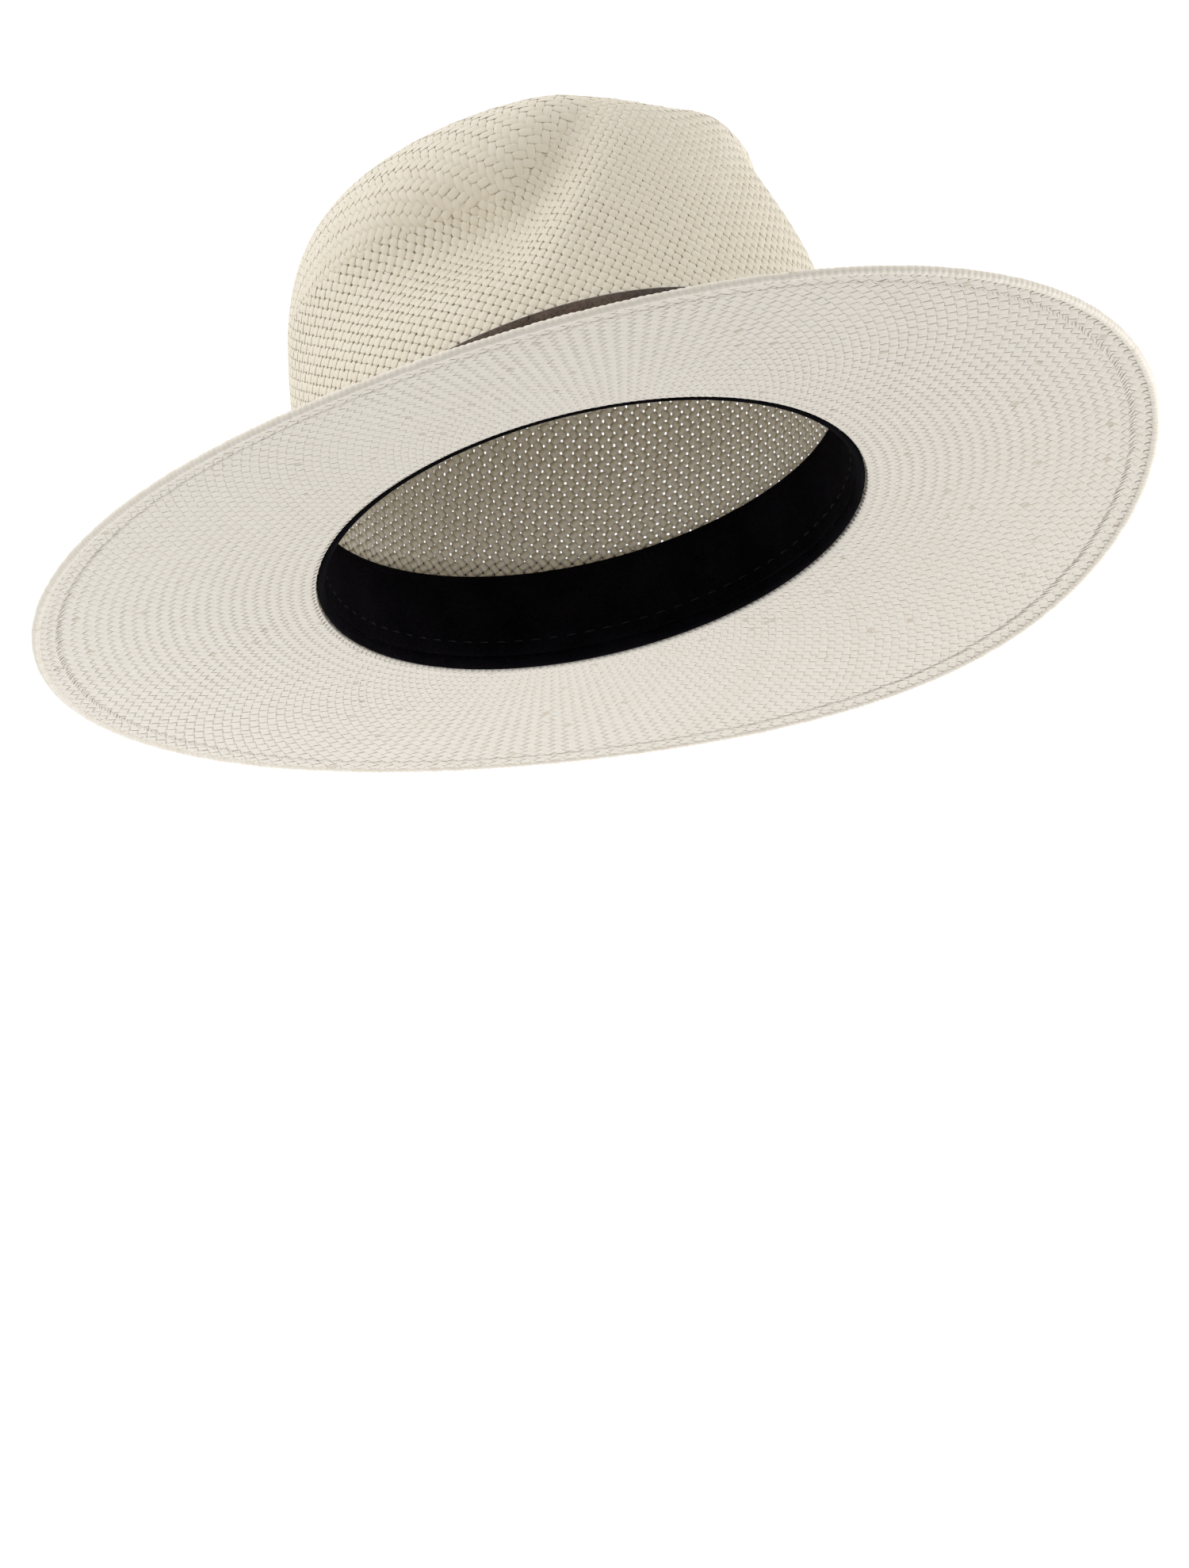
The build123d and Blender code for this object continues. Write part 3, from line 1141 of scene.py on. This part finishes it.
@dataclass
class Brim:
    """The woven brim and its whipped edge."""

    form: HatForm
    edge_diameter: float = 3.0 * MM
    edge_lift: float = 0.5 * MM
    wraps: int = 520
    wrap_slant: float = 1.4
    wrap_waist: float = 0.74
    back_stitches: int = 520
    back_width: float = 0.9 * MM
    back_inset: float = 9.0 * MM
    back_slant: float = 1.1 * MM

    def build(self) -> None:
        """Weaves the brim and whips its edge."""
        material = BRIM_STRAW.material()
        weave = BrimWeave(
            self.form,
            straw_width=1.12,
            straw_waist=1.0,
            waist_change=0.02,
            lift=0.13 * MM,
            straw_depth=0.20 * MM,
            profile=TWO_FACED_STRAW,
            steps=3,
            seed=40,
        )
        for family in Family:
            for piece in weave.build(f"brim_{family.name.lower()}", family):
                finish_piece(piece, material, "brim_straw", "straw_brim")
        self.whip_edge()
        self.back_weave()

    def whip_edge(self) -> None:
        """A bead of straw wrapped round the rim, each wrap a little raised and aslant."""
        around, per_wrap = 10, 5
        steps = self.wraps * per_wrap
        angle = np.linspace(0, TURN, steps, endpoint=False)
        turn = np.linspace(0, TURN, around, endpoint=False)
        reach = np.full_like(angle, self.form.brim_reach(self.edge_diameter / 2))
        centre = self.form.brim(angle, reach) + np.array([0, 0, self.edge_lift])
        out = self.form.outward(angle)
        wrap = angle[:, None] * self.wraps / TURN + self.wrap_slant * turn[None] / TURN
        chance = np.random.default_rng(5)
        sizes = chance.normal(0, 0.05, self.wraps + 3)
        swell = np.interp(wrap.ravel(), np.arange(self.wraps + 3), sizes).reshape(wrap.shape)
        bulge = (1 - self.wrap_waist) * np.abs(np.sin(math.pi * wrap)) ** 0.5
        radius = self.edge_diameter / 2 * (self.wrap_waist + bulge + swell)
        points = (
            centre[:, None]
            + out[:, None] * (np.cos(turn)[None, :, None] * radius[..., None])
            + np.array([0, 0, 1.0]) * (np.sin(turn)[None, :, None] * radius[..., None])
        )
        bead = ring(points)
        bead.pattern[:-1, :-1, 1] = wrap
        piece = mesh_from_grids("brim_edge_whipping", [bead])
        finish_piece(piece, EDGE_STRAW.material(), "edge_straw", "brim_edge", "brim_cord")

    def back_weave(self) -> None:
        """The line of slanting stitches under the brim, where the straws' ends are worked back in."""
        chance = np.random.default_rng(9)
        step = TURN / self.back_stitches
        share = np.linspace(-1, 1, 6)
        size = (1 - share**2) ** 0.5 * self.back_width
        below = np.array([0, 0, -0.12 * MM]) - np.array([0, 0, 0.14 * MM]) * (1 - share**2)[:, None]
        stitches = []
        for number in range(self.back_stitches):
            angle = step * (number + 0.95 * share + chance.normal(0, 0.12))
            inset = self.back_inset + chance.normal(0, 0.2 * MM) + self.back_slant * share
            line = self.form.brim(angle, self.form.brim_reach(inset)) + below
            up = np.tile([0.0, 0.0, 1.0], (6, 1))
            stitches.append(ribbon(line, up, size, size * 0.25, FINE_THREAD, float(number)))
        piece = mesh_from_grids("brim_back_weave", stitches)
        finish_piece(piece, BRIM_STRAW.material(), "brim_straw", "straw_brim")


@dataclass
class HatBand:
    """The suede band round the crown, with the keeper over its join and four thread tacks."""

    form: HatForm
    bottom: float = 3.5 * MM
    height: float = 34 * MM
    bottom_sag: float = 2.5 * MM
    top_sag: float = 4.5 * MM
    thickness: float = 1.2 * MM
    gap: float = 0.6 * MM
    keeper_angle: float = 8.0
    keeper_width: float = 14 * MM
    keeper_thickness: float = 1.0 * MM
    tack_count: int = 4
    tack_size: float = 0.5 * MM

    def build(self) -> None:
        """Makes the band, its keeper and its tacks."""
        suede = SUEDE.material()
        around = np.linspace(0, TURN, 360, endpoint=False)
        outer, top = self.gap + self.thickness, self.bottom + self.height
        section = strip_section(self.gap, outer, self.bottom, top, 14)
        band = mesh_from_grids("suede_hat_band", [ring(self.laid(around, section))])
        finish_piece(band, suede, "suede", "hat_band")
        self.keeper(suede, outer + 0.1 * MM, top)
        self.tacks(outer, top)

    def sag(self, angle: np.ndarray, height: np.ndarray) -> np.ndarray:
        """How far the band hangs at the sides, where the brim dips, and rises at the front and back.

        Args:
            angle: the angles round the opening.
            height: heights on the band.

        Returns:
            The distance at each point.
        """
        share = (height - self.bottom) / self.height
        return (self.bottom_sag + (self.top_sag - self.bottom_sag) * share) * np.cos(2 * angle)

    def laid(self, angle: np.ndarray, section: Section) -> np.ndarray:
        """The section's corners at each angle, laid on the wall along the band's line.

        Args:
            angle: the angles round the opening.
            section: the section's corners.

        Returns:
            The points.
        """
        rows = []
        for skin, height in section:
            level = np.full_like(angle, height)
            rows.append(self.form.wall(angle, level - self.sag(angle, level), skin))
        return np.stack(rows, 1)

    def keeper(self, suede: bpy.types.Material, skin: float, top: float) -> None:
        """A short suede loop over the join.

        Args:
            suede: the band's material.
            skin: the skin of its inner face.
            top: the height of the band's upper edge.
        """
        half = self.keeper_width / 2 / self.form.half_length
        around = math.radians(self.keeper_angle) + np.linspace(-half, half, 16)
        section = strip_section(skin, skin + self.keeper_thickness, self.bottom - 1 * MM, top + 1 * MM, 14)
        loop = mesh_from_grids("suede_band_keeper", [strap(self.laid(around, section))])
        finish_piece(loop, suede, "suede", "band_keeper")

    def tacks(self, outer: float, top: float) -> None:
        """Small threads that pass from the band's top edge into the straw.

        Args:
            outer: the skin of the band's outer face.
            top: the height of the band's upper edge.
        """
        threads = []
        for step in range(self.tack_count):
            angle = math.radians(45 + 360 * step / self.tack_count)
            skins = np.array([outer, outer + 0.25 * MM, outer + 0.15 * MM, self.gap, 0.1 * MM, -0.3 * MM])
            heights = top + np.array([-1.6, -1.3, -0.6, -0.1, 0.15, 0.2]) * MM
            line = self.form.wall(np.full(6, angle), heights - self.sag(np.full(6, angle), heights))
            line = line + self.form.outward(np.full(6, angle)) * skins[:, None]
            size = np.full(6, self.tack_size)
            threads.append(ribbon(line, np.tile([0.0, 0.3, 1.0], (6, 1)), size, size, ROUND_THREAD, step))
        piece = mesh_from_grids("band_thread_tacks", threads)
        finish_piece(piece, SUEDE_THREAD.material(), "band_thread", "band_tacks")


@dataclass
class Sweatband:
    """The black band inside the opening, with a reed in its taped lower edge."""

    form: HatForm
    bottom: float = 4.4 * MM
    height: float = 30 * MM
    thickness: float = 1.0 * MM
    skin: float = -1.9 * MM
    tape_diameter: float = 2.6 * MM
    tape_stretch: float = 1.75
    reed_diameter: float = 1.4 * MM
    seam_angle: float = 142.0
    seam_width: float = 9 * MM
    stitch_count: int = 88
    stitch_length: float = 3.6 * MM
    sewn_height: float = 4.6 * MM

    def build(self) -> None:
        """Makes the band, its seam tape, its taped reed and its stitches."""
        cloth = BLACK_CLOTH.material()
        around = np.linspace(0, TURN, 360, endpoint=False)
        inner, top = self.skin - self.thickness, self.bottom + self.height
        band = mesh_from_grids("sweatband_cloth", [ring(along_wall(self.form, around, self.section()))])
        finish_piece(band, cloth, "sweatband_cloth", "sweatband")
        half = self.seam_width / 2 / self.form.half_length
        patch = math.radians(self.seam_angle) + np.linspace(-half, half, 10)
        seam = strip_section(inner - 0.6 * MM, inner - 0.05 * MM, self.bottom + 1 * MM, top - 0.5 * MM)
        tape = mesh_from_grids("sweatband_seam", [strap(along_wall(self.form, patch, seam))])
        finish_piece(tape, cloth, "sweatband_tape", "sweatband_seam_tape")
        trims = [tape, *self.lower_edge(around, cloth, inner)]

    def section(self) -> Section:
        """The band's section, with a sunk line of sewing above its lower edge."""
        inner, top = self.skin - self.thickness, self.bottom + self.height
        corners = strip_section(inner, self.skin, self.bottom, top, 24)
        sewn = self.bottom + self.sewn_height
        sunk = [0.28 * MM * math.exp(-(((z - sewn) / (0.7 * MM)) ** 2)) for _, z in corners]
        middle = self.skin - self.thickness / 2
        return [(skin + (dip if skin < middle else 0), z) for (skin, z), dip in zip(corners, sunk)]

    def lower_edge(
        self, around: np.ndarray, cloth: bpy.types.Material, inner: float
    ) -> list[bpy.types.Object]:
        """The reed, the tape folded round it, and the stitches that hold both to the straw.

        Args:
            around: the angles round the opening.
            cloth: the band's material.
            inner: the skin of the band's inner face.

        Returns:
            The tape and the stitches.
        """
        skin, height = self.skin + 0.15 * MM, self.bottom - 2.1 * MM
        round_tape = cord_section(skin, height, self.tape_diameter, 14)
        fold = [(s, height + (z - height) * self.tape_stretch) for s, z in round_tape]
        tape = mesh_from_grids("sweatband_edge_tape", [ring(along_wall(self.form, around, fold))])
        finish_piece(tape, cloth, "sweatband_tape", "reed_tape")
        reed = cord_section(skin, height, self.reed_diameter, 8)
        piece = mesh_from_grids("sweatband_reed_cane", [ring(along_wall(self.form, around, reed))])
        finish_piece(piece, REED_CANE.material(), "reed", "sweatband_reed")
        threads = []
        half = self.stitch_length / 2 / self.form.half_length
        for step in range(self.stitch_count):
            angle = TURN * step / self.stitch_count + np.linspace(-half, half, 7)
            bow = np.sin(np.linspace(0, math.pi, 7))
            stand_off = inner - 0.9 * MM - 0.4 * MM * bow
            line = self.form.wall(angle, np.zeros(7)) + self.form.outward(angle) * stand_off[:, None]
            line[:, 2] = self.bottom + self.sewn_height
            size = np.full(7, 0.35 * MM) * (0.5 + 0.5 * bow)
            threads.append(ribbon(line, np.tile([0.0, 0.0, 1.0], (7, 1)), size, size, ROUND_THREAD, step))
        stitches = mesh_from_grids("sweatband_thread_stitches", threads)
        finish_piece(stitches, BLACK_THREAD.material(), "sweatband_thread", "sweatband_stitches")
        return [tape, stitches]


# ---------------------------------------------------------------- stage, light and camera


@dataclass
class Studio:
    """A white room with soft light, seen from below the brim."""

    azimuth: float = -35.0
    elevation: float = -22.7
    roll: float = -8.9
    distance: float = 2.2
    aim_right: float = 1.2 * MM
    aim_down: float = 79.4 * MM
    lens: float = 204.9
    floor_height: float = -1.25
    bright: float = 1.12
    dim: float = 0.66

    def build(self) -> None:
        """Sets the stage, the lights and the camera."""
        self.world()
        self.floor()
        self.light("key_light", -105, 30, 2.2, 1.6, 10.5)
        self.light("side_light", 65, 5, 2.2, 1.4, 8.2)
        self.light("under_light", 176, -28, 0.72, 0.45, 1.6)
        self.light("low_side_light", 78, -28, 0.75, 0.45, 2.5)
        self.camera()
        bpy.context.scene.view_settings.view_transform = "Standard"

    def world(self) -> None:
        """White light from all round, dimmer from the front of the room."""
        world = bpy.data.worlds.new("white_room")
        world.use_nodes = True
        tree = world.node_tree
        place = tree.nodes.new("ShaderNodeTexCoord")
        side = tree.nodes.new("ShaderNodeVectorMath")
        side.operation = "DOT_PRODUCT"
        side.inputs[1].default_value = self.aim(self.azimuth + 12, 0)
        tree.links.new(place.outputs["Generated"], side.inputs[0])
        fall = tree.nodes.new("ShaderNodeMapRange")
        limits = {"From Min": -0.4, "From Max": 1, "To Min": self.bright, "To Max": self.dim}
        for name, value in limits.items():
            fall.inputs[name].default_value = value
        tree.links.new(side.outputs["Value"], fall.inputs["Value"])
        seen = tree.nodes.new("ShaderNodeLightPath").outputs["Is Camera Ray"]
        strength = math_node(tree, "MAXIMUM", fall.outputs["Result"], seen)
        tree.links.new(strength, tree.nodes["Background"].inputs["Strength"])
        tree.nodes["Background"].inputs["Color"].default_value = (1, 1, 1, 1)
        bpy.context.scene.world = world

    def floor(self) -> None:
        """A plain pale floor, well below the hat, which a head would hold up."""
        sheet = bmesh.new()
        bmesh.ops.create_grid(sheet, x_segments=1, y_segments=1, size=40)
        bmesh.ops.translate(sheet, verts=sheet.verts, vec=(0, 0, self.floor_height))
        mesh = bpy.data.meshes.new("floor")
        sheet.to_mesh(mesh)
        sheet.free()
        floor = bpy.data.objects.new("floor", mesh)
        bpy.context.scene.collection.objects.link(floor)
        material, _, shader = new_material("floor_white")
        shader.inputs["Base Color"].default_value = (0.55, 0.56, 0.575, 1)
        shader.inputs["Roughness"].default_value = 0.8
        mesh.materials.append(material)

    def aim(self, azimuth: float, elevation: float) -> Vector:
        """The direction from the hat to something at this azimuth and elevation, in degrees."""
        a, e = math.radians(azimuth), math.radians(elevation)
        return Vector((math.sin(a) * math.cos(e), -math.cos(a) * math.cos(e), math.sin(e)))

    def light(
        self, name: str, azimuth: float, elevation: float, distance: float, size: float, power: float
    ) -> None:
        """A large soft light that faces the hat.

        Args:
            name: the light's name.
            azimuth: its direction round the hat, in degrees.
            elevation: its direction above the brim, in degrees.
            distance: how far it is from the hat.
            size: the side of its square.
            power: its power in watts.
        """
        lamp = bpy.data.lights.new(name, "AREA")
        lamp.size = size
        lamp.energy = power
        holder = bpy.data.objects.new(name, lamp)
        back = self.aim(azimuth, elevation)
        holder.location = back * distance
        holder.rotation_euler = back.to_track_quat("Z", "Y").to_euler()
        holder.visible_camera = False
        bpy.context.scene.collection.objects.link(holder)

    def camera(self) -> None:
        """A long lens, a little below the brim and leaning to one side."""
        data = bpy.data.cameras.new("camera")
        data.lens = self.lens
        data.sensor_width = 36
        data.sensor_fit = "HORIZONTAL"
        back = self.aim(self.azimuth, self.elevation)
        level = Vector((math.cos(math.radians(self.azimuth)), math.sin(math.radians(self.azimuth)), 0))
        upright = back.cross(level)
        lean = math.radians(self.roll)
        right = level * math.cos(lean) + upright * math.sin(lean)
        up = upright * math.cos(lean) - level * math.sin(lean)
        camera = bpy.data.objects.new("camera", data)
        turn = Matrix((right, up, back)).transposed().to_4x4()
        place = back * self.distance + right * self.aim_right - up * self.aim_down
        camera.matrix_world = Matrix.Translation(place) @ turn
        bpy.context.scene.collection.objects.link(camera)
        bpy.context.scene.camera = camera


def main() -> None:
    """Builds the hat, then the studio round it."""
    form = HatForm.from_frame()
    for part in (Crown(form), Brim(form), HatBand(form), Sweatband(form)):
        part.build()
    Studio().build()


if __name__ == "__main__":
    main()
